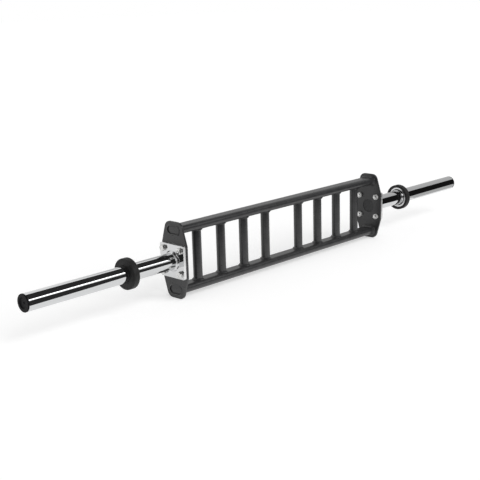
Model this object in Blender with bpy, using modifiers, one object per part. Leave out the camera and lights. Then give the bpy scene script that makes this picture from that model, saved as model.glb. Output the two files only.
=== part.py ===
"""Swiss bar: a ladder of eight neutral grips between two flat-oval rails, closed at each end
by an upright steel plate. A chromed sleeve for weight plates is bolted to each end plate.

X runs along the bar, Z is up. The bar stands on the lower edges of its two end plates, and the
origin lies on that surface, midway between them.
"""

import math

import bmesh
import bpy

# Grips
GRIP_DIAMETER = 0.028
GRIP_WALL = 0.003
# Clear length between the rails
GRIP_LENGTH = 0.155
GRIP_PITCH = 0.100
GRIPS_PER_SIDE = 4
# Between the axes of the two middle grips
CENTRE_SPACING = 0.160
# From the axis of an outermost grip to the inner face of the end plate
END_SPACING = 0.085

# Rails: flat-oval tube, deeper front to back than it is high
RAIL_DEPTH = 0.050
RAIL_HEIGHT = 0.025
RAIL_WALL = 0.002
RAIL_PLUG_THICKNESS = 0.003
RAIL_PLUG_RECESS = 0.0010

# Sleeves
SLEEVE_DIAMETER = 0.050
SLEEVE_WALL = 0.004
# Width of the ring of the end plate that the tube's end seats on
SLEEVE_SEAT = 0.002
# From the flange's outer face to the face that a weight plate rests on
COLLAR_STANDOFF = 0.179
# From that face to the end of the sleeve
LOADING_LENGTH = 0.334

# Bolts, M10, and the room for the weld between the tube and a washer
BOLT_DIAMETER = 0.010
WELD_ROOM = 0.0145
HEAD_ACROSS_FLATS = 0.017
HEAD_HEIGHT = 0.0064
WASHER_DIAMETER = 0.020
WASHER_THICKNESS = 0.002
NUT_ACROSS_FLATS = 0.017
NUT_HEIGHT = 0.008
# The thread that stands out past the nut
THREAD_END = 0.003

# Bolted flange of a sleeve. The margin runs from a bolt's axis to the flange's edge
FLANGE_THICKNESS = 0.010
FLANGE_MARGIN = 0.015
FLANGE_CORNER = 0.005

# End plates: each is wider than the flange and taller than the rails by these margins
PLATE_THICKNESS = 0.006
PLATE_SIDE_MARGIN = 0.002
PLATE_END_MARGIN = 0.0125
# From a rail's side to where the lines of the slanted side and of the plate's end meet
PLATE_TIP_MARGIN = 0.0065
# The slant starts this far below the flange's upper edge
PLATE_SHOULDER_DROP = 0.003
PLATE_SHOULDER_RADIUS = 0.008
PLATE_TIP_RADIUS = 0.022

# Stop collar, with its rubber bumper. Widths and walls are radial
COLLAR_WIDTH = 0.0108
COLLAR_THICKNESS = 0.010
HUB_WIDTH = 0.005
HUB_TIP_WIDTH = 0.0015
HUB_LENGTH = 0.006
BUMPER_WALL = 0.0088
BUMPER_FACE = 0.006
BUMPER_OVERHANG = 0.004
BUMPER_EDGE = 0.0025

# Sleeve end cap
CAP_LIP = 0.004
CAP_EDGE = 0.0015
CAP_INSERT_LENGTH = 0.015
CAP_INSERT_WALL = 0.003

# Plug in the bore of an end plate, as seen from the grips
INNER_PLUG_RECESS = 0.0012
INNER_PLUG_LENGTH = 0.012
INNER_PLUG_WALL = 0.0025

# Clearances, each side
GAP = 0.0003
BOLT_CLEARANCE = 0.0005

# Facets
SLEEVE_SIDES = 48
GRIP_SIDES = 24
HOLE_SIDES = 20
SHANK_SIDES = 16
CORNER_STEPS = 4
RAIL_STEPS = 12
TIP_STEPS = 8
EDGE_STEPS = 3

# Places that follow from the sizes
sleeve_radius = SLEEVE_DIAMETER / 2
sleeve_bore = sleeve_radius - SLEEVE_WALL
bolt_offset = (sleeve_radius + WELD_ROOM + WASHER_DIAMETER / 2) / math.sqrt(2)
bolt_hole_radius = BOLT_DIAMETER / 2 + BOLT_CLEARANCE
flange_size = 2 * (bolt_offset + FLANGE_MARGIN)
rail_spacing = GRIP_LENGTH + RAIL_HEIGHT
plate_width = flange_size + 2 * PLATE_SIDE_MARGIN
plate_height = rail_spacing + RAIL_HEIGHT + 2 * PLATE_END_MARGIN
axis_height = plate_height / 2
outermost_grip = CENTRE_SPACING / 2 + (GRIPS_PER_SIDE - 1) * GRIP_PITCH
plate_inner_x = outermost_grip + END_SPACING

# Places along an end's own +X, from the inner face of its end plate
flange_inner = PLATE_THICKNESS + GAP
flange_outer = flange_inner + FLANGE_THICKNESS
loading_face = flange_outer + COLLAR_STANDOFF
sleeve_end = loading_face + LOADING_LENGTH
tube_end = sleeve_end - CAP_LIP - GAP

# Turns a shape that is drawn in XY and rises along Z, so that it rises along X and its own Y is up
LIE_ALONG_X = (math.pi / 2, 0, math.pi / 2)


def clear_scene():
    for old in list(bpy.data.objects):
        bpy.data.objects.remove(old, do_unlink=True)


def new_collection(name):
    collection = bpy.data.collections.new(name)
    bpy.context.scene.collection.children.link(collection)
    return collection


def new_material(name, colour, metallic, roughness):
    material = bpy.data.materials.new(name)
    material.use_nodes = True
    shader = material.node_tree.nodes["Principled BSDF"]
    shader.inputs["Base Color"].default_value = (*colour, 1)
    shader.inputs["Metallic"].default_value = metallic
    shader.inputs["Roughness"].default_value = roughness
    return material


def new_piece(name, data, collection):
    piece = bpy.data.objects.new(name, data)
    collection.objects.link(piece)
    return piece


def place(piece, parent, location, rotation=(0, 0, 0)):
    piece.parent = parent
    piece.location = location
    piece.rotation_euler = rotation


def copy_piece(piece, name):
    """Another piece on the same mesh or curve."""
    twin = piece.copy()
    twin.name = name
    bar.objects.link(twin)
    return twin


def arc(centre, radius, start, sweep, steps):
    """Points along an arc, both ends included."""
    x, y = centre
    angles = [start + sweep * step / steps for step in range(steps + 1)]
    return [(x + radius * math.cos(angle), y + radius * math.sin(angle)) for angle in angles]


def circle(radius, sides, centre=(0, 0)):
    return arc(centre, radius, 0, 2 * math.pi, sides)[:-1]


def rounded_rectangle(width, height, radius, centre=(0, 0)):
    """Corners rounded by arcs, counter-clockwise from the lower right one."""
    x = width / 2 - radius
    y = height / 2 - radius
    points = []
    for turn, (side, end) in enumerate(((x, -y), (x, y), (-x, y), (-x, -y))):
        corner = (centre[0] + side, centre[1] + end)
        points += arc(corner, radius, (turn - 1) * math.pi / 2, math.pi / 2, CORNER_STEPS)
    return points


def flat_oval(width, height, centre=(0, 0)):
    """Two straight sides joined by half circles. It is wider than it is high."""
    x = (width - height) / 2
    right = arc((centre[0] + x, centre[1]), height / 2, -math.pi / 2, math.pi, RAIL_STEPS)
    left = arc((centre[0] - x, centre[1]), height / 2, math.pi / 2, math.pi, RAIL_STEPS)
    return right + left


def extruded(name, outlines, thickness, material):
    """A flat outline, with any further outlines as its holes, centred on its own XY plane."""
    curve = bpy.data.curves.new(name, "CURVE")
    curve.dimensions = "2D"
    curve.fill_mode = "BOTH"
    curve.extrude = thickness / 2
    for outline in outlines:
        spline = curve.splines.new("POLY")
        spline.points.add(len(outline) - 1)
        for point, (x, y) in zip(spline.points, outline):
            point.co = (x, y, 0, 1)
        spline.use_cyclic_u = True
    curve.materials.append(material)
    return new_piece(name, curve, bar)


def turned(name, profile, material, sides=SLEEVE_SIDES):
    """A profile of (radius, height) points, down its outer side first, turned about Z.

    A profile that doesn't start and end on the axis is closed into a ring.
    """
    points = [(radius, 0, height) for radius, height in profile]
    edges = [(index, index + 1) for index in range(len(points) - 1)]
    if profile[0][0] > 0:
        edges.append((len(points) - 1, 0))
    mesh = bpy.data.meshes.new(name)
    mesh.from_pydata(points, edges, [])
    mesh.materials.append(material)
    piece = new_piece(name, mesh, bar)
    screw = piece.modifiers.new("Turn", "SCREW")
    screw.steps = sides
    screw.render_steps = sides
    screw.use_merge_vertices = True
    screw.merge_threshold = 0.00001
    return piece


def round_tube(name, diameter, bore, length, material, sides):
    """A tube about Z, centred on its own origin."""
    top = length / 2
    profile = [(diameter / 2, top), (diameter / 2, -top), (bore / 2, -top), (bore / 2, top)]
    return turned(name, profile, material, sides)


def prism_mesh(name, radius, sides, low, high):
    """A closed cylinder or prism about Z between two heights."""
    shape = bmesh.new()
    depth = high - low
    bmesh.ops.create_cone(
        shape, cap_ends=True, segments=sides, radius1=radius, radius2=radius, depth=depth
    )
    bmesh.ops.translate(shape, verts=shape.verts, vec=(0, 0, low + depth / 2))
    mesh = bpy.data.meshes.new(name)
    shape.to_mesh(mesh)
    shape.free()
    return mesh


def make_rails(ladder):
    """Two tubes through both end plates, ending flush with their outer faces."""
    outer = flat_oval(RAIL_DEPTH, RAIL_HEIGHT)
    bore = flat_oval(RAIL_DEPTH - 2 * RAIL_WALL, RAIL_HEIGHT - 2 * RAIL_WALL)
    length = 2 * (plate_inner_x + PLATE_THICKNESS)
    upper = extruded("upper_rail", [outer, bore], length, black_paint)
    lower = copy_piece(upper, "lower_rail")
    place(upper, ladder, (0, 0, rail_spacing / 2), LIE_ALONG_X)
    place(lower, ladder, (0, 0, -rail_spacing / 2), LIE_ALONG_X)


def make_grips(ladder):
    """Round tubes between the rails, numbered from the left."""
    right_half = [CENTRE_SPACING / 2 + step * GRIP_PITCH for step in range(GRIPS_PER_SIDE)]
    places = [-x for x in reversed(right_half)] + right_half
    bore = GRIP_DIAMETER - 2 * GRIP_WALL
    length = GRIP_LENGTH - 2 * GAP
    first = round_tube("grip_1", GRIP_DIAMETER, bore, length, black_paint, GRIP_SIDES)
    for number, x in enumerate(places, start=1):
        grip = first if number == 1 else copy_piece(first, f"grip_{number}")
        place(grip, ladder, (x, 0, 0))


def bolt_places():
    """The four bolt centres of a flange: upper pair first, as (Y, Z) from the sleeve's axis."""
    return [(y, z) for z in (bolt_offset, -bolt_offset) for y in (-bolt_offset, bolt_offset)]


def bolt_holes():
    return [circle(bolt_hole_radius, HOLE_SIDES, centre) for centre in bolt_places()]


def plate_outline():
    """Upright sides in the middle, slanting in towards both ends, with every corner rounded."""
    side = plate_width / 2
    end = plate_height / 2
    shoulder = flange_size / 2 - PLATE_SHOULDER_DROP
    tip = RAIL_DEPTH / 2 + PLATE_TIP_MARGIN
    slant = math.atan2(side - tip, end - shoulder)
    tip_turn = math.pi / 2 - slant
    shoulder_trim = PLATE_SHOULDER_RADIUS * math.tan(slant / 2)
    tip_trim = PLATE_TIP_RADIUS * math.tan(tip_turn / 2)
    shoulder_centre = (side - PLATE_SHOULDER_RADIUS, shoulder - shoulder_trim)
    tip_centre = (tip - tip_trim, end - PLATE_TIP_RADIUS)
    quarter = arc(shoulder_centre, PLATE_SHOULDER_RADIUS, 0, slant, EDGE_STEPS)
    quarter += arc(tip_centre, PLATE_TIP_RADIUS, slant, tip_turn, TIP_STEPS)
    upper_half = quarter + [(-x, y) for x, y in reversed(quarter)]
    return upper_half + [(-x, -y) for x, y in upper_half]


def make_end_plate(end, side):
    """The plate has a slot for each rail, and a bore that leaves a seat for the sleeve's tube."""
    slot_depth = RAIL_DEPTH + 2 * GAP
    slot_height = RAIL_HEIGHT + 2 * GAP
    rail_places = ((0, rail_spacing / 2), (0, -rail_spacing / 2))
    slots = [flat_oval(slot_depth, slot_height, centre) for centre in rail_places]
    bore = circle(sleeve_radius - SLEEVE_SEAT, SLEEVE_SIDES)
    outlines = [plate_outline(), *slots, bore, *bolt_holes()]
    plate = extruded(f"end_plate_{side}", outlines, PLATE_THICKNESS, black_paint)
    place(plate, end, (PLATE_THICKNESS / 2, 0, 0), LIE_ALONG_X)


def make_rail_plugs(end, side):
    """A steel plug just inside each end of each rail."""
    depth = RAIL_DEPTH - 2 * (RAIL_WALL + GAP)
    height = RAIL_HEIGHT - 2 * (RAIL_WALL + GAP)
    outline = flat_oval(depth, height)
    x = PLATE_THICKNESS - RAIL_PLUG_RECESS - RAIL_PLUG_THICKNESS / 2
    upper = extruded(f"upper_rail_plug_{side}", [outline], RAIL_PLUG_THICKNESS, black_paint)
    lower = copy_piece(upper, f"lower_rail_plug_{side}")
    place(upper, end, (x, 0, rail_spacing / 2), LIE_ALONG_X)
    place(lower, end, (x, 0, -rail_spacing / 2), LIE_ALONG_X)


def make_flange(end, side):
    outline = rounded_rectangle(flange_size, flange_size, FLANGE_CORNER)
    bore = circle(sleeve_radius + GAP, SLEEVE_SIDES)
    outlines = [outline, bore, *bolt_holes()]
    flange = extruded(f"sleeve_flange_{side}", outlines, FLANGE_THICKNESS, chrome)
    place(flange, end, (flange_inner + FLANGE_THICKNESS / 2, 0, 0), LIE_ALONG_X)


def make_sleeve_tube(end, side):
    """The tube stands in the flange, with its end on the seat in the end plate."""
    length = tube_end - flange_inner
    bore = 2 * sleeve_bore
    tube = round_tube(f"sleeve_tube_{side}", SLEEVE_DIAMETER, bore, length, chrome, SLEEVE_SIDES)
    place(tube, end, (flange_inner + length / 2, 0, 0), LIE_ALONG_X)


def make_inner_plug(end, side):
    """A plastic plug: a disc in the end plate's bore, with a hollow insert in the tube."""
    disc = sleeve_radius - SLEEVE_SEAT - GAP
    insert = sleeve_bore - GAP
    hollow = insert - INNER_PLUG_WALL
    disc_back = flange_inner - GAP
    insert_end = disc_back + INNER_PLUG_LENGTH
    profile = [(0, disc_back), (hollow, disc_back), (hollow, insert_end), (insert, insert_end)]
    profile += [(insert, disc_back), (disc, disc_back), (disc, INNER_PLUG_RECESS), (0, INNER_PLUG_RECESS)]
    plug = turned(f"sleeve_inner_plug_{side}", profile, black_plastic)
    place(plug, end, (0, 0, 0), LIE_ALONG_X)


def make_stop_collar(end, side):
    """A disc on the tube, with a hub that tapers towards the flange."""
    bore = sleeve_radius + GAP
    rim = bore + COLLAR_WIDTH
    hub = bore + HUB_WIDTH
    hub_tip = bore + HUB_TIP_WIDTH
    front = loading_face - BUMPER_FACE - GAP
    back = front - COLLAR_THICKNESS
    hub_end = back - HUB_LENGTH
    profile = [(rim, front), (rim, back), (hub, back), (hub_tip, hub_end), (bore, hub_end), (bore, front)]
    collar = turned(f"stop_collar_{side}", profile, chrome)
    place(collar, end, (0, 0, 0), LIE_ALONG_X)


def make_collar_bumper(end, side):
    """A rubber cup over the collar's rim and over its face towards the weight plates."""
    bore = sleeve_radius + GAP
    inside = bore + COLLAR_WIDTH + GAP
    outside = inside + BUMPER_WALL
    cup_floor = loading_face - BUMPER_FACE
    lip = cup_floor - GAP - COLLAR_THICKNESS - BUMPER_OVERHANG
    edge_x = outside - BUMPER_EDGE
    profile = arc((edge_x, loading_face - BUMPER_EDGE), BUMPER_EDGE, math.pi / 2, -math.pi / 2, EDGE_STEPS)
    profile += arc((edge_x, lip + BUMPER_EDGE), BUMPER_EDGE, 0, -math.pi / 2, EDGE_STEPS)
    profile += [(inside, lip), (inside, cup_floor), (bore, cup_floor), (bore, loading_face)]
    bumper = turned(f"collar_bumper_{side}", profile, rubber)
    place(bumper, end, (0, 0, 0), LIE_ALONG_X)


def make_end_cap(end, side):
    """A plastic cap: a lip as wide as the tube, and a hollow insert in its bore."""
    insert = sleeve_bore - GAP
    hollow = insert - CAP_INSERT_WALL
    lip_back = sleeve_end - CAP_LIP
    insert_end = lip_back - CAP_INSERT_LENGTH
    edge_centre = (sleeve_radius - CAP_EDGE, sleeve_end - CAP_EDGE)
    profile = [(0, sleeve_end)]
    profile += arc(edge_centre, CAP_EDGE, math.pi / 2, -math.pi / 2, EDGE_STEPS)
    profile += [(sleeve_radius, lip_back), (insert, lip_back), (insert, insert_end)]
    profile += [(hollow, insert_end), (hollow, lip_back), (0, lip_back)]
    cap = turned(f"sleeve_end_cap_{side}", profile, black_plastic)
    place(cap, end, (0, 0, 0), LIE_ALONG_X)


def make_bolt(end, name, location, head_mesh, shank_mesh):
    """A hexagon head joined to its shank."""
    head = new_piece(name, head_mesh, bar)
    shank = new_piece(f"{name}_shank", shank_mesh, helpers)
    shank.hide_render = True
    shank.display_type = "WIRE"
    join = head.modifiers.new("Shank", "BOOLEAN")
    join.operation = "UNION"
    join.solver = "EXACT"
    join.object = shank
    place(head, end, location, LIE_ALONG_X)
    place(shank, end, location, LIE_ALONG_X)


def make_bolts(end, side):
    """Four bolts with their heads outside. Each head's underside is at the bolt's origin."""
    head_seat = flange_outer + GAP + WASHER_THICKNESS + GAP
    shank_end = -(head_seat + GAP + NUT_HEIGHT + THREAD_END)
    head_mesh = prism_mesh("bolt_head", HEAD_ACROSS_FLATS / math.sqrt(3), 6, 0, HEAD_HEIGHT)
    shank_mesh = prism_mesh("bolt_shank", BOLT_DIAMETER / 2, SHANK_SIDES, shank_end, HEAD_HEIGHT / 2)
    head_mesh.materials.append(zinc)
    for number, (y, z) in enumerate(bolt_places(), start=1):
        make_bolt(end, f"flange_bolt_{side}_{number}", (head_seat, y, z), head_mesh, shank_mesh)


def make_ring_set(end, name, outlines, thickness, middle_x):
    """The same flat ring on each of the four bolts."""
    ring = None
    for number, (y, z) in enumerate(bolt_places(), start=1):
        if ring is None:
            ring = extruded(f"{name}_{number}", outlines, thickness, zinc)
        else:
            ring = copy_piece(ring, f"{name}_{number}")
        place(ring, end, (middle_x, y, z), LIE_ALONG_X)


def make_washers(end, side):
    outlines = [circle(WASHER_DIAMETER / 2, HOLE_SIDES), circle(bolt_hole_radius, HOLE_SIDES)]
    middle_x = flange_outer + GAP + WASHER_THICKNESS / 2
    make_ring_set(end, f"bolt_washer_{side}", outlines, WASHER_THICKNESS, middle_x)


def make_nuts(end, side):
    """Nuts on the inner face of the end plate."""
    outlines = [circle(NUT_ACROSS_FLATS / math.sqrt(3), 6), circle(BOLT_DIAMETER / 2 + GAP, HOLE_SIDES)]
    middle_x = -GAP - NUT_HEIGHT / 2
    make_ring_set(end, f"flange_nut_{side}", outlines, NUT_HEIGHT, middle_x)


def make_end(side, direction):
    """One end of the bar, built along its own +X, which points away from the grips."""
    end = new_piece(f"{side}_end", None, bar)
    place(end, None, (direction * plate_inner_x, 0, axis_height), (0, 0, math.pi * (1 - direction) / 2))
    make_end_plate(end, side)
    make_rail_plugs(end, side)
    make_flange(end, side)
    make_sleeve_tube(end, side)
    make_inner_plug(end, side)
    make_stop_collar(end, side)
    make_collar_bumper(end, side)
    make_end_cap(end, side)
    make_bolts(end, side)
    make_washers(end, side)
    make_nuts(end, side)


clear_scene()
bar = new_collection("swiss_bar")
helpers = new_collection("helpers")
helpers.hide_render = True

black_paint = new_material("black_paint", (0.035, 0.035, 0.036), 0.0, 0.45)
chrome = new_material("chrome", (0.64, 0.64, 0.64), 1.0, 0.06)
zinc = new_material("zinc", (0.72, 0.72, 0.71), 1.0, 0.25)
rubber = new_material("rubber", (0.020, 0.020, 0.021), 0.0, 0.75)
black_plastic = new_material("black_plastic", (0.016, 0.016, 0.017), 0.0, 0.40)

ladder = new_piece("ladder", None, bar)
place(ladder, None, (0, 0, axis_height))
make_rails(ladder)
make_grips(ladder)
make_end("left", -1)
make_end("right", 1)
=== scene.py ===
"""Looks of the swiss bar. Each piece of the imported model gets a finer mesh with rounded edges, the
weld beads and threads are added, and the whole stands on a pale floor in soft studio light.

Lengths are in metres. X runs along the bar, Z is up. Each end is built along its own +X, which
points away from the grips and starts at the inner face of its end plate.
"""

import math

import bmesh
import bpy
from mathutils import Matrix, Vector


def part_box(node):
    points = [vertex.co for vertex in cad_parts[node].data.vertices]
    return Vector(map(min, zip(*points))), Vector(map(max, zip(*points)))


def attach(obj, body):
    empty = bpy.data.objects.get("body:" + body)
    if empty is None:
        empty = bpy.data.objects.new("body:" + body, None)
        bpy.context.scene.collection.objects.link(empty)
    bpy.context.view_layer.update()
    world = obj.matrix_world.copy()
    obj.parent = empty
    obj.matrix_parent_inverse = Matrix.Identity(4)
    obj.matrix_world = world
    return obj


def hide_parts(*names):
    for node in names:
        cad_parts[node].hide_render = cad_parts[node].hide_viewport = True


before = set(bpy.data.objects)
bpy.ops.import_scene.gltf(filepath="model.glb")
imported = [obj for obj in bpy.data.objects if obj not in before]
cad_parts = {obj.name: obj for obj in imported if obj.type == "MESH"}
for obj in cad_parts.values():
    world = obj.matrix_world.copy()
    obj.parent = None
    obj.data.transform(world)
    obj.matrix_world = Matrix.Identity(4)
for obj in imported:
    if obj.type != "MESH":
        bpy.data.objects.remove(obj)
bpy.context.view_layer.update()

BODY = "root"

# Camera: place, heading from +X, tilt below the horizon, roll, and focal length in image widths
CAMERA_PLACE = (-2.32186, -2.06851, 0.86599)
CAMERA_HEADING = 0.77172
CAMERA_TILT = 0.24623
CAMERA_ROLL = 0.02900
CAMERA_FOCAL = 986.05 / 480
SENSOR_WIDTH = 36

# Outline of the end plates
PLATE_SHOULDER = 0.047
PLATE_TIP = 0.0315
PLATE_SHOULDER_RADIUS = 0.008
PLATE_TIP_RADIUS = 0.022
PLATE_BORE = 0.023

# Rails and grips
RAIL_DEPTH = 0.050
RAIL_HEIGHT = 0.025
RAIL_WALL = 0.002
GRIP_WALL = 0.003
GRIP_COUNT = 8

# Sleeves
SLEEVE_RADIUS = 0.025
SLEEVE_BORE = 0.021
FLANGE_CORNER = 0.005
COLLAR_RIM = 0.0361
COLLAR_HUB = 0.0303
COLLAR_HUB_TIP = 0.0268
COLLAR_THICKNESS = 0.010
BUMPER_FACE = 0.006
PLUG_RADIUS = 0.0227
PLUG_WALL = 0.0025
CAP_LIP = 0.004
CAP_INSERT_WALL = 0.003

# Fasteners
BOLT_RADIUS = 0.005
THREAD_PITCH = 0.0015
THREAD_DEPTH = 0.0008
THREAD_START = -0.002
THREAD_CHAMFER = 0.0006
HEX_ACROSS = 0.017
HEX_SIDES = 48
WASHER_RADIUS = 0.010
HOLE_RADIUS = 0.0055

# Dish in the bolt heads, as (radius, height above its floor)
DISH_DEPTH = 0.0008
DISH_SLOPE = ((0.0022, 0), (0.0028, 0.0002), (0.0033, 0.0007), (0.0036, 0.0008))

# Weld beads: length and cross section of a step, ripples and a slow wander in size
WELD_STEP = 0.0006
WELD_STEPS_ACROSS = 7
WELD_SINK = 0.0002
WELD_CROWN = 0.16
WELD_RIPPLE_LAG = 0.55
WELD_WANDER = 0.04
WELD_WANDER_RIPPLES = 7.3

# Each bead and bolt is turned by a further step, so that neighbours don't look alike
WELD_TURN = 0.7
BOLT_TURN = 0.9

# Studio: the far left and right, the front, the height of the cloth above, and where it is parted
SET_LEFT = -3.0
SET_RIGHT = 6.0
SET_FRONT = -2.2
SET_TOP = 1.6
CLOTH_PART = 2.3
FLOOR_PART = 0.70
ON_FLOOR = 0.001

GAP = 0.0003
SHARP_ANGLE = math.radians(35)

LIE_ALONG_X = Matrix(((0, 0, 1, 0), (1, 0, 0, 0), (0, 1, 0, 0), (0, 0, 0, 1)))
STAND_UP = Matrix.Rotation(-math.pi / 2, 4, "Y")
HANG_DOWN = Matrix.Rotation(math.pi / 2, 4, "Y")

# The pieces that each end has once, with their material slots
SINGLE_PIECES = {
    "end_plate": "black_paint",
    "sleeve_flange": "chrome",
    "sleeve_tube": "chrome",
    "sleeve_inner_plug": "black_plastic",
    "stop_collar": "chrome",
    "collar_bumper": "rubber",
    "sleeve_end_cap": "black_plastic",
}

plate_low, plate_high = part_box("end_plate_right")
plate_inner = plate_low.x
axis_height = (plate_low.z + plate_high.z) / 2
plate_thickness = plate_high.x - plate_low.x


def end_box(node):
    """Lowest and highest place of a right-hand node along its end's own X."""
    low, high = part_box(node)
    return low.x - plate_inner, high.x - plate_inner


def bolt_places():
    """Centres of the four right-hand bolts, as (Y, Z) from the sleeve's axis."""
    places = []
    for number in range(1, 5):
        low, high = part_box(f"flange_bolt_right_{number}")
        places.append(((low.y + high.y) / 2, (low.z + high.z) / 2 - axis_height))
    return places


# Outlines and profiles


def arc(centre, radius, start, sweep, steps):
    """Points along an arc, both ends included."""
    x, y = centre
    angles = [start + sweep * step / steps for step in range(steps + 1)]
    return [(x + radius * math.cos(angle), y + radius * math.sin(angle)) for angle in angles]


def circle(radius, sides, centre=(0, 0)):
    return arc(centre, radius, 0, 2 * math.pi, sides)[:-1]


def rounded_rectangle(width, height, radius, centre=(0, 0), steps=6):
    x = width / 2 - radius
    y = height / 2 - radius
    points = []
    for turn, (side, end) in enumerate(((x, -y), (x, y), (-x, y), (-x, -y))):
        corner = (centre[0] + side, centre[1] + end)
        points += arc(corner, radius, (turn - 1) * math.pi / 2, math.pi / 2, steps)
    return points


def flat_oval(width, height, centre=(0, 0), steps=24):
    """Two straight sides joined by half circles."""
    x = (width - height) / 2
    right = arc((centre[0] + x, centre[1]), height / 2, -math.pi / 2, math.pi, steps)
    left = arc((centre[0] - x, centre[1]), height / 2, math.pi / 2, math.pi, steps)
    return right + left


def plate_outline():
    """Upright sides in the middle, slanting in towards both ends."""
    side = plate_high.y
    end = axis_height
    slant = math.atan2(side - PLATE_TIP, end - PLATE_SHOULDER)
    tip_turn = math.pi / 2 - slant
    shoulder_trim = PLATE_SHOULDER_RADIUS * math.tan(slant / 2)
    tip_trim = PLATE_TIP_RADIUS * math.tan(tip_turn / 2)
    shoulder_centre = (side - PLATE_SHOULDER_RADIUS, PLATE_SHOULDER - shoulder_trim)
    tip_centre = (PLATE_TIP - tip_trim, end - PLATE_TIP_RADIUS)
    quarter = arc(shoulder_centre, PLATE_SHOULDER_RADIUS, 0, slant, 5)
    quarter += arc(tip_centre, PLATE_TIP_RADIUS, slant, tip_turn, 20)
    upper_half = quarter + [(-x, y) for x, y in reversed(quarter)]
    return upper_half + [(-x, -y) for x, y in upper_half]


def softened(corners, steps=4):
    """A profile whose corners, each (along, out, rounding), are replaced by arcs."""
    points = []
    for index, (along, out, rounding) in enumerate(corners):
        here = Vector((along, out))
        if rounding == 0:
            points.append(tuple(here))
            continue
        before = (Vector(corners[index - 1][:2]) - here).normalized()
        after = (Vector(corners[(index + 1) % len(corners)][:2]) - here).normalized()
        half = before.angle(after) / 2
        centre = here + (before + after).normalized() * rounding / math.sin(half)
        start = here + before * rounding / math.tan(half) - centre
        finish = here + after * rounding / math.tan(half) - centre
        for step in range(steps + 1):
            spoke = start.lerp(finish, step / steps).normalized()
            points.append(tuple(centre + spoke * rounding))
    return points


# Meshes


def loft(name, loops, wrap=False):
    """A closed surface through loops of points. A loop of one point is a pole."""
    shape = bmesh.new()
    rows = [[shape.verts.new(point) for point in loop] for loop in loops]
    pairs = list(zip(rows, rows[1:]))
    if wrap:
        pairs.append((rows[-1], rows[0]))
    else:
        for end in (rows[0], rows[-1]):
            if len(end) > 1:
                shape.faces.new(end)
    for one, two in pairs:
        count = max(len(one), len(two))
        for index in range(count):
            follow = (index + 1) % count
            if len(one) == 1:
                shape.faces.new((one[0], two[index], two[follow]))
            elif len(two) == 1:
                shape.faces.new((one[index], one[follow], two[0]))
            else:
                shape.faces.new((one[index], one[follow], two[follow], two[index]))
    bmesh.ops.recalc_face_normals(shape, faces=shape.faces)
    mesh = bpy.data.meshes.new(name)
    shape.to_mesh(mesh)
    shape.free()
    mesh.shade_smooth()
    mesh.set_sharp_from_angle(angle=SHARP_ANGLE)
    return mesh


def ring(radius, along, sides):
    if radius == 0:
        return [(along, 0, 0)]
    return [(along, y, z) for y, z in circle(radius, sides)]


def turned(name, profile, sides, wrap=True):
    """A profile of (along, radius) points turned about X."""
    return loft(name, [ring(radius, along, sides) for along, radius in profile], wrap)


def slab(name, outlines, start, thickness, edge):
    """Flat outlines in YZ, the first the outer one, made solid along X with rounded edges."""
    curve = bpy.data.curves.new(name, "CURVE")
    curve.dimensions = "2D"
    curve.fill_mode = "BOTH"
    curve.extrude = thickness / 2
    for outline in outlines:
        spline = curve.splines.new("POLY")
        spline.points.add(len(outline) - 1)
        for point, (y, z) in zip(spline.points, outline):
            point.co = (y, z, 0, 1)
        spline.use_cyclic_u = True
    helper = bpy.data.objects.new(f"{name}_outline", curve)
    bpy.context.scene.collection.objects.link(helper)
    graph = bpy.context.evaluated_depsgraph_get()
    mesh = bpy.data.meshes.new_from_object(helper.evaluated_get(graph))
    bpy.data.objects.remove(helper)
    mesh.name = name
    shape = bmesh.new()
    shape.from_mesh(mesh)
    bmesh.ops.remove_doubles(shape, verts=shape.verts, dist=0.000001)
    bmesh.ops.dissolve_limit(
        shape, angle_limit=math.radians(0.5), verts=shape.verts, edges=shape.edges
    )
    rims = []
    for one in shape.edges:
        flat = [abs(face.normal.z) > 0.99 for face in one.link_faces]
        if any(flat) and not all(flat):
            rims.append(one)
    bmesh.ops.bevel(
        shape, geom=rims, offset=edge, segments=4, profile=0.5, affect="EDGES", clamp_overlap=True
    )
    bmesh.ops.transform(
        shape,
        matrix=Matrix.Translation((start + thickness / 2, 0, 0)) @ LIE_ALONG_X,
        verts=shape.verts,
    )
    bmesh.ops.recalc_face_normals(shape, faces=shape.faces)
    for face in shape.faces:
        face.smooth = abs(face.normal.x) < 0.999
    shape.to_mesh(mesh)
    shape.free()
    mesh.set_sharp_from_angle(angle=SHARP_ANGLE)
    return mesh


def weld_path(outline):
    """A closed outline resampled evenly, each point with the direction that faces outward."""
    corners = [Vector(point) for point in outline]
    lengths = [
        (corners[(index + 1) % len(corners)] - corner).length
        for index, corner in enumerate(corners)
    ]
    count = round(sum(lengths) / WELD_STEP)
    places = []
    index = 0
    passed = 0.0
    for step in range(count):
        target = sum(lengths) * step / count
        while passed + lengths[index] < target:
            passed += lengths[index]
            index += 1
        share = (target - passed) / lengths[index]
        places.append(corners[index].lerp(corners[(index + 1) % len(corners)], share))
    path = []
    for step, place in enumerate(places):
        along = (places[(step + 1) % count] - places[step - 1]).normalized()
        path.append((place, Vector((along.y, -along.x))))
    return path, sum(lengths)


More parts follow.
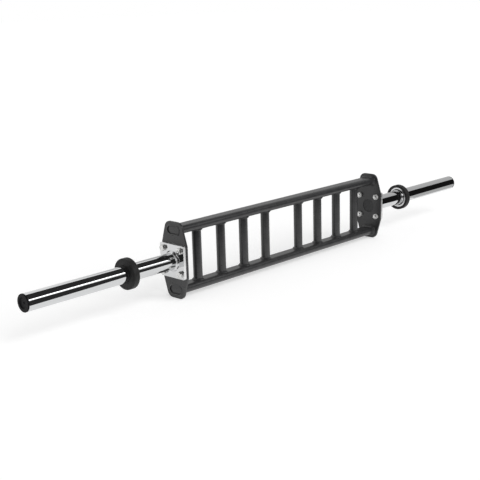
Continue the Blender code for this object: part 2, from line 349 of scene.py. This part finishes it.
def weld_bead(name, outline, reach, rise, pitch, depth):
    """A rippled fillet around an outline in YZ, on a face at X = 0, rising along +X."""
    path, length = weld_path(outline)
    ripples = round(length / pitch)
    loops = []
    for step, (place, outward) in enumerate(path):
        phase = ripples * step / len(path)
        size = 1 + WELD_WANDER * math.sin(2 * math.pi * phase / WELD_WANDER_RIPPLES)
        section = [(-WELD_SINK, -WELD_SINK), (rise * 0.98, -WELD_SINK)]
        for index in range(WELD_STEPS_ACROSS + 1):
            turn = index / WELD_STEPS_ACROSS
            lag = WELD_RIPPLE_LAG * (1 - (2 * turn - 1) ** 2)
            wave = abs(math.sin(math.pi * (phase - lag)))
            middle = math.sin(math.pi * turn)
            bulge = 1 + WELD_CROWN * middle - depth * (1 - wave) * middle
            bulge *= size
            section.append((rise * (1 - turn) * bulge, reach * turn * bulge))
        section.append((-WELD_SINK, reach))
        points = []
        for up, out in section:
            spot = place + outward * out
            points.append((up, spot.x, spot.y))
        loops.append(points)
    return loft(name, loops, wrap=True)


def hexagon(along, cone_start, slope):
    """A hexagon's edge where a cone cuts its corners off, sampled at even angles."""
    points = []
    for index in range(HEX_SIDES):
        angle = 2 * math.pi * index / HEX_SIDES
        corner_turn = (angle % (math.pi / 3)) - math.pi / 6
        radius = HEX_ACROSS / 2 / math.cos(corner_turn)
        drop = max(0, radius - cone_start) * slope
        points.append((along + drop, radius * math.cos(angle), radius * math.sin(angle)))
    return points


def bolt_mesh(name, seat, head_end, shank_end):
    """Hexagon head with a chamfer and a shallow dish, and a shank with a thread at its end."""
    flat = HEX_ACROSS / 2 * 0.88
    tilt = math.tan(math.radians(30))
    seat_edge = 0.0004
    dish_floor = head_end - DISH_DEPTH
    loops = [ring(0, dish_floor, HEX_SIDES)]
    loops += [ring(radius, dish_floor + rise, HEX_SIDES) for radius, rise in DISH_SLOPE]
    loops += [
        ring(flat, head_end, HEX_SIDES),
        hexagon(head_end, flat, -tilt),
        hexagon(seat + seat_edge, flat, tilt * 0.5),
        ring(flat, seat, HEX_SIDES),
        ring(BOLT_RADIUS, seat, HEX_SIDES),
        ring(BOLT_RADIUS, THREAD_START, HEX_SIDES),
    ]
    steps_per_turn = 6
    length = THREAD_START - shank_end - THREAD_CHAMFER
    rows = round(length / THREAD_PITCH * steps_per_turn)
    for row in range(1, rows + 1):
        along = THREAD_START - length * row / rows
        loop = []
        for index in range(HEX_SIDES):
            angle = 2 * math.pi * index / HEX_SIDES
            turn = (along / THREAD_PITCH + index / HEX_SIDES) % 1
            radius = BOLT_RADIUS - THREAD_DEPTH * abs(2 * turn - 1)
            loop.append((along, radius * math.cos(angle), radius * math.sin(angle)))
        loops.append(loop)
    loops.append(ring(BOLT_RADIUS - THREAD_DEPTH, shank_end, HEX_SIDES))
    loops.append(ring(0, shank_end, HEX_SIDES))
    return loft(name, loops)


def nut_mesh(name, start, finish):
    """Both faces of the nut are chamfered, and so is its bore."""
    flat = HEX_ACROSS / 2 * 0.95
    tilt = math.tan(math.radians(28))
    bore = BOLT_RADIUS + GAP
    chamfer = 0.0006
    loops = [
        ring(bore, start + chamfer, HEX_SIDES),
        ring(bore + chamfer, start, HEX_SIDES),
        ring(flat, start, HEX_SIDES),
        hexagon(start, flat, tilt),
        hexagon(finish, flat, -tilt),
        ring(flat, finish, HEX_SIDES),
        ring(bore + chamfer, finish, HEX_SIDES),
        ring(bore, finish - chamfer, HEX_SIDES),
    ]
    return loft(name, loops, wrap=True)


# Materials


def new_material(name, colour, metallic, roughness):
    material = bpy.data.materials.new(name)
    material.use_nodes = True
    principled = material.node_tree.nodes["Principled BSDF"]
    principled.inputs["Base Color"].default_value = (*colour, 1)
    principled.inputs["Metallic"].default_value = metallic
    principled.inputs["Roughness"].default_value = roughness
    return material, material.node_tree, principled


def noise(tree, scale, detail=2.0, stretch=(1, 1, 1)):
    """Noise in a piece's own coordinates. The scale is in features per metre."""
    place = tree.nodes.new("ShaderNodeTexCoord")
    mapping = tree.nodes.new("ShaderNodeMapping")
    mapping.inputs["Scale"].default_value = stretch
    texture = tree.nodes.new("ShaderNodeTexNoise")
    texture.inputs["Scale"].default_value = scale
    texture.inputs["Detail"].default_value = detail
    tree.links.new(place.outputs["Object"], mapping.inputs["Vector"])
    tree.links.new(mapping.outputs["Vector"], texture.inputs["Vector"])
    return texture.outputs["Fac"]


def spread(tree, value, low, high, start=0.3, end=0.7):
    """The middle of a noise's range mapped to a low and a high value."""
    node = tree.nodes.new("ShaderNodeMapRange")
    node.inputs["From Min"].default_value = start
    node.inputs["From Max"].default_value = end
    node.inputs["To Min"].default_value = low
    node.inputs["To Max"].default_value = high
    tree.links.new(value, node.inputs["Value"])
    return node.outputs["Result"]


def blend_colours(tree, value, dark, light):
    node = tree.nodes.new("ShaderNodeMix")
    node.data_type = "RGBA"
    node.inputs["A"].default_value = (*dark, 1)
    node.inputs["B"].default_value = (*light, 1)
    tree.links.new(value, node.inputs["Factor"])
    return node.outputs["Result"]


def add_bumps(tree, principled, layers):
    """Layers of (height, distance), each on top of the one before."""
    normal = None
    for height, distance in layers:
        node = tree.nodes.new("ShaderNodeBump")
        node.inputs["Distance"].default_value = distance
        tree.links.new(height, node.inputs["Height"])
        if normal:
            tree.links.new(normal, node.inputs["Normal"])
        normal = node.outputs["Normal"]
    tree.links.new(normal, principled.inputs["Normal"])


def powder_coat():
    """Satin black powder coat: slight orange peel and fine grain."""
    material, tree, principled = new_material("powder_coat", (0.027, 0.027, 0.028), 0, 0.28)
    cloud = spread(tree, noise(tree, 35), 0, 1)
    colour = blend_colours(tree, cloud, (0.022, 0.022, 0.023), (0.032, 0.032, 0.033))
    tree.links.new(colour, principled.inputs["Base Color"])
    tree.links.new(spread(tree, noise(tree, 240), 0.27, 0.31), principled.inputs["Roughness"])
    add_bumps(tree, principled, ((noise(tree, 300), 0.000006), (noise(tree, 1900), 0.000002)))
    return material


def chrome_plate(name, wave, haziest, clearest=0.02, tone=(0.64, 0.645, 0.65)):
    """Polished chrome: faint waves in the steel below, and hazy polishing marks around the bar."""
    material, tree, principled = new_material(name, tone, 1, 0.05)
    marks = noise(tree, 60, 3, (40, 1, 1))
    haze = noise(tree, 28)
    node = tree.nodes.new("ShaderNodeMath")
    node.operation = "MULTIPLY"
    tree.links.new(marks, node.inputs[0])
    tree.links.new(haze, node.inputs[1])
    roughness = spread(tree, node.outputs[0], clearest, haziest, 0.12, 0.42)
    tree.links.new(roughness, principled.inputs["Roughness"])
    add_bumps(tree, principled, ((noise(tree, 70, 1), wave), (marks, 0.0000015)))
    return material


def zinc_plate(name, metallic, smoothest, roughest):
    """Bright zinc on the fasteners: cool grey with a faint spangle."""
    material, tree, principled = new_material(name, (0.70, 0.70, 0.69), metallic, smoothest)
    cloud = spread(tree, noise(tree, 420, 3), 0, 1)
    colour = blend_colours(tree, cloud, (0.62, 0.62, 0.61), (0.76, 0.76, 0.75))
    tree.links.new(colour, principled.inputs["Base Color"])
    roughness = spread(tree, noise(tree, 900), smoothest, roughest)
    tree.links.new(roughness, principled.inputs["Roughness"])
    add_bumps(tree, principled, ((noise(tree, 1400), 0.000008),))
    return material


def moulded_rubber():
    """Matt rubber with a fine grain and a faint grey bloom."""
    material, tree, principled = new_material("moulded_rubber", (0.018, 0.018, 0.018), 0, 0.5)
    principled.inputs["Specular IOR Level"].default_value = 0.22
    cloud = spread(tree, noise(tree, 90, 4), 0, 1)
    colour = blend_colours(tree, cloud, (0.015, 0.015, 0.015), (0.021, 0.021, 0.021))
    tree.links.new(colour, principled.inputs["Base Color"])
    tree.links.new(spread(tree, noise(tree, 300), 0.45, 0.58), principled.inputs["Roughness"])
    add_bumps(tree, principled, ((noise(tree, 2200, 3), 0.000010),))
    return material


def grained_plastic(name, dark, light, gloss):
    """Black plastic with a fine eroded grain."""
    material, tree, principled = new_material(name, light, 0, 0.4)
    principled.inputs["Specular IOR Level"].default_value = gloss
    cloud = spread(tree, noise(tree, 150), 0, 1)
    colour = blend_colours(tree, cloud, dark, light)
    tree.links.new(colour, principled.inputs["Base Color"])
    tree.links.new(spread(tree, noise(tree, 500), 0.34, 0.46), principled.inputs["Roughness"])
    add_bumps(tree, principled, ((noise(tree, 3000, 2), 0.000008),))
    return material


# Pieces


def add_piece(name, mesh, matrix, material, node=None):
    piece = bpy.data.objects.new(name, mesh)
    bpy.context.scene.collection.objects.link(piece)
    piece.matrix_world = matrix
    if not mesh.materials:
        mesh.materials.append(material)
    shading = piece.modifiers.new("Shading by face size", "WEIGHTED_NORMAL")
    shading.keep_sharp = True
    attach(piece, BODY)
    if node:
        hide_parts(node)
    return piece


def add_rails(paint):
    low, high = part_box("upper_rail")
    half = (high.x - low.x) / 2
    edge = 0.0004
    outer = flat_oval(RAIL_DEPTH, RAIL_HEIGHT)
    lip = flat_oval(RAIL_DEPTH - 2 * edge, RAIL_HEIGHT - 2 * edge)
    bore = flat_oval(RAIL_DEPTH - 2 * RAIL_WALL, RAIL_HEIGHT - 2 * RAIL_WALL)
    stations = (
        (half - edge, outer),
        (half, lip),
        (half, bore),
        (-half, bore),
        (-half, lip),
        (edge - half, outer),
    )
    loops = [[(x, y, z) for y, z in outline] for x, outline in stations]
    mesh = loft("rail_tube", loops, wrap=True)
    for level in ("upper", "lower"):
        low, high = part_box(f"{level}_rail")
        centre = Matrix.Translation((0, 0, (low.z + high.z) / 2))
        add_piece(f"{level}_rail_tube", mesh, centre, paint, f"{level}_rail")


def add_grips(paint):
    low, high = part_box("grip_1")
    length = high.z - low.z
    radius = (high.y - low.y) / 2
    bore = radius - GRIP_WALL
    edge = 0.0003
    profile = softened((
        (0, bore, 0),
        (0, radius, edge),
        (length, radius, edge),
        (length, bore, 0),
    ))
    tube = turned("grip_tube", profile, 64)
    line = circle(radius, 160)
    bead = weld_bead("grip_weld", line, reach=0.0052, rise=0.0052, pitch=0.0030, depth=0.10)
    for number in range(1, GRIP_COUNT + 1):
        low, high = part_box(f"grip_{number}")
        x = (low.x + high.x) / 2
        foot = Matrix.Translation((x, 0, low.z)) @ STAND_UP
        add_piece(f"grip_{number}_tube", tube, foot, paint, f"grip_{number}")
        turn = Matrix.Rotation(WELD_TURN * number, 4, "X")
        lower = Matrix.Translation((x, 0, low.z - GAP)) @ STAND_UP @ turn
        upper = Matrix.Translation((x, 0, high.z + GAP)) @ HANG_DOWN @ turn
        add_piece(f"grip_{number}_lower_weld", bead, lower, paint)
        add_piece(f"grip_{number}_upper_weld", bead, upper, paint)


def end_meshes(flange_chrome, edge_chrome_painted_highlight):
    """The meshes that both ends share by kind, the flange's outer face and the rails' offset."""
    flange_start, flange_end = end_box("sleeve_flange_right")
    tube_start, tube_end = end_box("sleeve_tube_right")
    collar_start, collar_end = end_box("stop_collar_right")
    bumper_start, bumper_end = end_box("collar_bumper_right")
    cap_start, cap_end = end_box("sleeve_end_cap_right")
    inner_start, inner_end = end_box("sleeve_inner_plug_right")
    washer_start, washer_end = end_box("bolt_washer_right_1")
    nut_start, nut_end = end_box("flange_nut_right_1")
    bolt_start, bolt_end = end_box("flange_bolt_right_1")
    plug_start, plug_end = end_box("upper_rail_plug_right")
    rail_offset = (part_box("upper_rail")[0].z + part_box("upper_rail")[1].z) / 2 - axis_height
    flange_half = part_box("sleeve_flange_right")[1].y
    bumper_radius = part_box("collar_bumper_right")[1].y

    holes = [circle(HOLE_RADIUS, 32, centre) for centre in bolt_places()]
    slots = [
        flat_oval(RAIL_DEPTH + 2 * GAP, RAIL_HEIGHT + 2 * GAP, (0, z))
        for z in (rail_offset, -rail_offset)
    ]
    plate_lines = [plate_outline(), *slots, circle(PLATE_BORE, 64), *holes]
    flange_lines = [
        rounded_rectangle(2 * flange_half, 2 * flange_half, FLANGE_CORNER),
        circle(SLEEVE_RADIUS + GAP, 96),
        *holes,
    ]
    flange_thickness = flange_end - flange_start
    flange = slab("sleeve_flange", flange_lines, flange_start, flange_thickness, 0.0009)
    meshes = {
        "end_plate": slab("end_plate", plate_lines, 0, plate_thickness, 0.0007),
        "sleeve_flange": flange,
    }
    # The flange's edges are ground, so their chrome is hazier than that of its faces. Their paler
    # tone is a painted highlight, which stands in for the white line along the edges.
    flange.materials.append(flange_chrome)
    flange.materials.append(edge_chrome_painted_highlight)
    for face in flange.polygons:
        if abs(face.normal.x) < 0.7:
            face.material_index = 1
    meshes["sleeve_tube"] = turned(
        "sleeve_tube",
        softened((
            (tube_start, SLEEVE_BORE, 0),
            (tube_start, SLEEVE_RADIUS, 0.0004),
            (tube_end, SLEEVE_RADIUS, 0.0005),
            (tube_end, SLEEVE_BORE, 0),
        )),
        128,
    )
    bore = SLEEVE_RADIUS + GAP
    collar_back = collar_end - COLLAR_THICKNESS
    meshes["stop_collar"] = turned(
        "stop_collar",
        softened((
            (collar_end, bore, 0),
            (collar_start, bore, 0),
            (collar_start, COLLAR_HUB_TIP, 0.0006),
            (collar_back, COLLAR_HUB, 0.0012),
            (collar_back, COLLAR_RIM, 0.0006),
            (collar_end, COLLAR_RIM, 0.0003),
        )),
        96,
    )
    inside = COLLAR_RIM + GAP
    cup_floor = bumper_end - BUMPER_FACE
    # A fine moulding line around the rim, and a shallow groove in the face near its edge
    rim = bumper_radius - 0.0001
    seam = (bumper_start + bumper_end) / 2 + 0.0012
    seam_half = 0.0003
    groove = bumper_end - 0.0005
    meshes["collar_bumper"] = turned(
        "collar_bumper",
        softened((
            (bumper_end, bore, 0.0008),
            (cup_floor, bore, 0),
            (cup_floor, inside, 0),
            (bumper_start, inside, 0.0008),
            (bumper_start, rim, 0.0026),
            (seam - seam_half, rim, 0),
            (seam, bumper_radius, 0),
            (seam + seam_half, rim, 0),
            (bumper_end, rim, 0.0026),
            (bumper_end, bumper_radius - 0.0055, 0),
            (groove, bumper_radius - 0.0060, 0),
            (groove, bumper_radius - 0.0068, 0),
            (bumper_end, bumper_radius - 0.0073, 0),
        ), steps=6),
        96,
    )
    insert = SLEEVE_BORE - GAP
    disc_back = tube_start - GAP
    dish = inner_start + 0.0009
    meshes["sleeve_inner_plug"] = turned(
        "sleeve_inner_plug",
        softened((
            (dish, 0, 0),
            (dish, 0.0090, 0.0050),
            (inner_start, 0.0185, 0.0050),
            (inner_start, PLUG_RADIUS, 0.0006),
            (disc_back, PLUG_RADIUS, 0),
            (disc_back, insert, 0),
            (inner_end, insert, 0.0008),
            (inner_end, insert - PLUG_WALL, 0),
            (disc_back, insert - PLUG_WALL, 0),
            (disc_back, 0, 0),
        )),
        96,
        wrap=False,
    )
    lip_back = cap_end - CAP_LIP
    nub = cap_end - 0.0016
    recess = cap_end - 0.0030
    meshes["sleeve_end_cap"] = turned(
        "sleeve_end_cap",
        softened((
            (nub, 0, 0),
            (nub, 0.0028, 0.0005),
            (recess, 0.0036, 0.0006),
            (recess, 0.0142, 0.0012),
            (cap_end, 0.0162, 0.0012),
            (cap_end, SLEEVE_RADIUS, 0.0020),
            (lip_back, SLEEVE_RADIUS, 0.0003),
            (lip_back, insert, 0),
            (cap_start, insert, 0.0008),
            (cap_start, insert - CAP_INSERT_WALL, 0),
            (lip_back, insert - CAP_INSERT_WALL, 0),
            (lip_back, 0, 0),
        )),
        96,
        wrap=False,
    )
    meshes["bolt_washer"] = turned(
        "bolt_washer",
        softened((
            (washer_end, HOLE_RADIUS, 0),
            (washer_start, HOLE_RADIUS, 0),
            (washer_start, WASHER_RADIUS, 0.0002),
            (washer_end, WASHER_RADIUS, 0.0007),
        )),
        48,
    )
    meshes["flange_nut"] = nut_mesh("flange_nut", nut_start, nut_end)
    meshes["flange_bolt"] = bolt_mesh("flange_bolt", washer_end + GAP, bolt_end, bolt_start)
    plug_trim = 2 * (RAIL_WALL + GAP)
    plug_lines = [flat_oval(RAIL_DEPTH - plug_trim, RAIL_HEIGHT - plug_trim)]
    meshes["rail_plug"] = slab("rail_plug", plug_lines, plug_start, plug_end - plug_start, 0.0006)
    sleeve_line = circle(SLEEVE_RADIUS, 200)
    rail_line = flat_oval(RAIL_DEPTH, RAIL_HEIGHT)
    meshes["sleeve_weld"] = weld_bead(
        "sleeve_weld", sleeve_line, reach=0.0062, rise=0.0070, pitch=0.0034, depth=0.03
    )
    meshes["rail_weld"] = weld_bead(
        "rail_weld", rail_line, reach=0.0062, rise=0.0062, pitch=0.0034, depth=0.10
    )
    meshes["rail_end_weld"] = weld_bead(
        "rail_end_weld", rail_line, reach=0.0036, rise=0.0022, pitch=0.0034, depth=0.30
    )
    return meshes, flange_end, rail_offset


def add_end(side, direction, meshes, places, materials):
    flange_end, rail_offset = places
    end = Matrix.Translation((direction * plate_inner, 0, axis_height))
    end = end @ Matrix.Rotation(math.pi * (1 - direction) / 2, 4, "Z")
    facing_in = Matrix.Rotation(math.pi, 4, "Z")

    def add(kind, name, matrix, node=None):
        add_piece(name, meshes[kind], matrix, materials[kind], node)

    for kind, slot in SINGLE_PIECES.items():
        add(kind, f"{kind}_{side}_detail", end, f"{kind}_{side}")
    for number, (y, z) in enumerate(bolt_places(), start=1):
        turn = Matrix.Rotation(BOLT_TURN * number + direction, 4, "X")
        there = end @ Matrix.Translation((0, y, z)) @ turn
        for kind in ("bolt_washer", "flange_nut", "flange_bolt"):
            node = f"{kind}_{side}_{number}"
            add(kind, f"{node}_detail", there, node)
    for level, z in (("upper", rail_offset), ("lower", -rail_offset)):
        shift = end @ Matrix.Translation((0, 0, z))
        node = f"{level}_rail_plug_{side}"
        add("rail_plug", f"{node}_detail", shift, node)
        add("rail_weld", f"{level}_rail_weld_{side}", shift @ facing_in)
        outside = shift @ Matrix.Translation((plate_thickness, 0, 0))
        add("rail_end_weld", f"{level}_rail_end_weld_{side}", outside)
    at_flange = end @ Matrix.Translation((flange_end, 0, 0))
    add("sleeve_weld", f"sleeve_weld_{side}", at_flange)


# Studio


def seen_by_camera_and_gloss(tree):
    """1 for rays from the camera, from gloss and through glass, 0 for rays that carry light."""
    path = tree.nodes.new("ShaderNodeLightPath")
    total = path.outputs["Is Camera Ray"]
    for name in ("Is Glossy Ray", "Is Transmission Ray"):
        node = tree.nodes.new("ShaderNodeMath")
        node.operation = "MAXIMUM"
        tree.links.new(total, node.inputs[0])
        tree.links.new(path.outputs[name], node.inputs[1])
        total = node.outputs[0]
    return total


def add_world(ambient):
    """White to the camera and in reflections, and an even light on the object."""
    world = bpy.data.worlds.new("studio")
    bpy.context.scene.world = world
    world.use_nodes = True
    tree = world.node_tree
    light = tree.nodes["Background"]
    light.inputs["Color"].default_value = (1, 1, 1, 1)
    light.inputs["Strength"].default_value = ambient
    white = tree.nodes.new("ShaderNodeBackground")
    white.inputs["Color"].default_value = (1, 1, 1, 1)
    white.inputs["Strength"].default_value = 1
    mix = tree.nodes.new("ShaderNodeMixShader")
    tree.links.new(seen_by_camera_and_gloss(tree), mix.inputs[0])
    tree.links.new(light.outputs[0], mix.inputs[1])
    tree.links.new(white.outputs[0], mix.inputs[2])
    tree.links.new(mix.outputs[0], tree.nodes["World Output"].inputs["Surface"])


def flat_sheet(name, corners):
    mesh = bpy.data.meshes.new(name)
    mesh.from_pydata(corners, [], [tuple(range(len(corners)))])
    sheet = bpy.data.objects.new(name, mesh)
    bpy.context.scene.collection.objects.link(sheet)
    return sheet


def add_floor(tone, glow, fill):
    """Pale floor. Its glow lifts it to the white of the backdrop and leaves soft shadows. The
    object itself is lit by a weaker glow, the fill.
    """
    floor = flat_sheet("floor", [(-30, -30, 0), (30, -30, 0), (30, 30, 0), (-30, 30, 0)])
    material = bpy.data.materials.new("floor")
    material.use_nodes = True
    tree = material.node_tree
    tree.nodes.remove(tree.nodes["Principled BSDF"])
    paper = tree.nodes.new("ShaderNodeBsdfDiffuse")
    paper.inputs["Color"].default_value = (tone, tone, tone, 1)
    lift = tree.nodes.new("ShaderNodeEmission")
    level = tree.nodes.new("ShaderNodeMath")
    level.operation = "MULTIPLY_ADD"
    level.inputs[1].default_value = glow - fill
    level.inputs[2].default_value = fill
    tree.links.new(seen_by_camera_and_gloss(tree), level.inputs[0])
    tree.links.new(level.outputs[0], lift.inputs["Strength"])
    both = tree.nodes.new("ShaderNodeAddShader")
    tree.links.new(paper.outputs[0], both.inputs[0])
    tree.links.new(lift.outputs[0], both.inputs[1])
    tree.links.new(both.outputs[0], tree.nodes["Material Output"].inputs["Surface"])
    floor.data.materials.append(material)


def at_height(z, corners):
    return [(x, y, z) for x, y in corners]


def at_front(corners):
    return [(x, SET_FRONT, z) for x, z in corners]


def add_card(name, level, corners):
    """A black flag or a grey card around the set, which only polished surfaces see."""
    flag = flat_sheet(name, corners)
    material = bpy.data.materials.new(name)
    material.use_nodes = True
    tree = material.node_tree
    tree.nodes.remove(tree.nodes["Principled BSDF"])
    cloth = tree.nodes.new("ShaderNodeEmission")
    cloth.inputs["Strength"].default_value = level
    tree.links.new(cloth.outputs[0], tree.nodes["Material Output"].inputs["Surface"])
    flag.data.materials.append(material)
    flag.visible_camera = False
    flag.visible_diffuse = False
    flag.visible_transmission = False
    flag.visible_volume_scatter = False
    flag.visible_shadow = False


def add_soft_box(place, target, lean, width, height, level):
    """A soft box for reflections, whose face has the given brightness, where 1 is white."""
    lamp = bpy.data.lights.new("key", "AREA")
    lamp.shape = "RECTANGLE"
    lamp.size = width
    lamp.size_y = height
    lamp.energy = level * math.pi * width * height
    light = bpy.data.objects.new("key", lamp)
    bpy.context.scene.collection.objects.link(light)
    aim = (Vector(target) - Vector(place)).to_track_quat("-Z", "Y").to_matrix().to_4x4()
    light.matrix_world = Matrix.Translation(place) @ aim @ Matrix.Rotation(lean, 4, "Z")
    light.visible_diffuse = False


def add_soft_sun(direction, angle, level):
    """Even soft light from one side, which polished surfaces don't mirror."""
    lamp = bpy.data.lights.new("soft_sun", "SUN")
    lamp.angle = angle
    lamp.energy = level
    light = bpy.data.objects.new("soft_sun", lamp)
    bpy.context.scene.collection.objects.link(light)
    light.visible_glossy = False
    light.matrix_world = Vector(direction).to_track_quat("Z", "Y").to_matrix().to_4x4()


def add_camera():
    forward = Vector((
        math.cos(CAMERA_HEADING) * math.cos(CAMERA_TILT),
        math.sin(CAMERA_HEADING) * math.cos(CAMERA_TILT),
        -math.sin(CAMERA_TILT),
    ))
    level_right = Vector((math.sin(CAMERA_HEADING), -math.cos(CAMERA_HEADING), 0))
    level_down = forward.cross(level_right)
    right = math.cos(CAMERA_ROLL) * level_right + math.sin(CAMERA_ROLL) * level_down
    down = math.cos(CAMERA_ROLL) * level_down - math.sin(CAMERA_ROLL) * level_right
    data = bpy.data.cameras.new("camera")
    data.sensor_fit = "HORIZONTAL"
    data.sensor_width = SENSOR_WIDTH
    data.lens = CAMERA_FOCAL * SENSOR_WIDTH
    data.clip_end = 100
    camera = bpy.data.objects.new("camera", data)
    bpy.context.scene.collection.objects.link(camera)
    turn = Matrix((right, -down, -forward)).transposed().to_4x4()
    camera.matrix_world = Matrix.Translation(CAMERA_PLACE) @ turn
    bpy.context.scene.camera = camera


paint = powder_coat()
flange_chrome = chrome_plate("flange_chrome", 0.00004, haziest=0.04)
# Chrome for the flange's ground edges: hazier than the faces, and paler as a painted highlight
edge_chrome_painted_highlight = chrome_plate(
    "edge_chrome_painted_highlight", 0.00004, haziest=0.45, clearest=0.30, tone=(0.95, 0.95, 0.95)
)
bolt_zinc = zinc_plate("bolt_zinc", metallic=0.9, smoothest=0.03, roughest=0.08)
materials = {
    "end_plate": paint,
    "sleeve_flange": flange_chrome,
    "sleeve_tube": chrome_plate("sleeve_chrome", 0.000010, haziest=0.08),
    "sleeve_inner_plug": grained_plastic(
        "plug_plastic", dark=(0.014, 0.014, 0.015), light=(0.026, 0.026, 0.027), gloss=0.4
    ),
    "stop_collar": chrome_plate("collar_chrome", 0.000010, haziest=0.28, clearest=0.18),
    "collar_bumper": moulded_rubber(),
    "sleeve_end_cap": grained_plastic(
        "cap_plastic", dark=(0.004, 0.004, 0.0045), light=(0.008, 0.008, 0.0085), gloss=0.09
    ),
    "bolt_washer": bolt_zinc,
    "flange_nut": zinc_plate("nut_zinc", metallic=0.5, smoothest=0.30, roughest=0.45),
    "flange_bolt": bolt_zinc,
    "rail_plug": paint,
    "rail_weld": paint,
    "rail_end_weld": paint,
    "sleeve_weld": chrome_plate("weld_chrome", 0.00004, haziest=0.30, clearest=0.18),
}

add_rails(paint)
add_grips(paint)
meshes, *places = end_meshes(flange_chrome, edge_chrome_painted_highlight)
add_end("left", -1, meshes, places, materials)
add_end("right", 1, meshes, places, materials)

add_world(ambient=0.45)
add_floor(tone=0.66, glow=0.475, fill=0.25)

# Black cloth above, in front and on the floor, darker where the right sleeve sees it
left_shade = 0.032
right_shade = 0.010
add_card("flag_above_left", left_shade, at_height(SET_TOP, [
    (SET_LEFT, 0.62), (0.75, 0.62), (CLOTH_PART, -0.72), (CLOTH_PART, -1.1), (0.9, -1.48),
    (0.3, -1.73), (-0.7, -1.78), (-0.7, SET_FRONT), (SET_LEFT, SET_FRONT),
]))
add_card("flag_above_right", right_shade, at_height(SET_TOP, [
    (CLOTH_PART, -0.72), (2.6, -0.72), (3.0, -0.78), (3.6, -0.77), (SET_RIGHT, -1.20),
    (SET_RIGHT, SET_FRONT), (CLOTH_PART, SET_FRONT),
]))
add_card("flag_in_front_left", left_shade, at_front([
    (SET_LEFT, 0), (CLOTH_PART, 0), (CLOTH_PART, 1.1), (-0.4, 1.1), (-0.4, SET_TOP),
    (SET_LEFT, SET_TOP),
]))
add_card("flag_in_front_right", right_shade, at_front([
    (CLOTH_PART, 0), (SET_RIGHT, 0), (SET_RIGHT, SET_TOP), (CLOTH_PART, SET_TOP),
]))
add_card("flag_on_floor_left", left_shade, at_height(ON_FLOOR, [
    (SET_LEFT, -0.10), (-0.87, -0.18), (-0.74, -0.215), (-0.60, -0.27), (-0.38, -0.42),
    (0.0, -0.60), (0.30, -0.72), (FLOOR_PART, -0.75), (FLOOR_PART, SET_FRONT),
    (SET_LEFT, SET_FRONT),
]))
add_card("flag_on_floor_right", right_shade, at_height(ON_FLOOR, [
    (FLOOR_PART, -0.75), (0.85, -0.19), (1.0, -0.225), (1.15, -0.25), (SET_RIGHT, -0.25),
    (SET_RIGHT, SET_FRONT), (FLOOR_PART, SET_FRONT),
]))
# Grey paper at the right, which dims the whites of the right sleeve
add_card("grey_wall", 0.58, [
    (6.5, 0.3, 0), (6.5, 9.0, 0), (6.5, 9.0, 7.0), (6.5, -2.6, 7.0), (6.5, -2.6, 2.6),
    (6.5, 0.3, 2.6),
])
add_card("grey_paper", 0.56, at_height(ON_FLOOR, [
    (0.86, -0.19), (1.0, -0.225), (1.15, -0.25), (1.8, -0.25), (1.8, -0.02), (0.86, -0.02),
]))
add_soft_box(
    place=(0.7, -1.9, 1.535),
    target=(0.7, 0, 0.115),
    lean=math.radians(25),
    width=3.2,
    height=0.40,
    level=2.2,
)
add_soft_sun(direction=(0.15, -1.15, 0.80), angle=math.radians(60), level=2.1)
add_camera()

bpy.context.scene.view_settings.view_transform = "Standard"
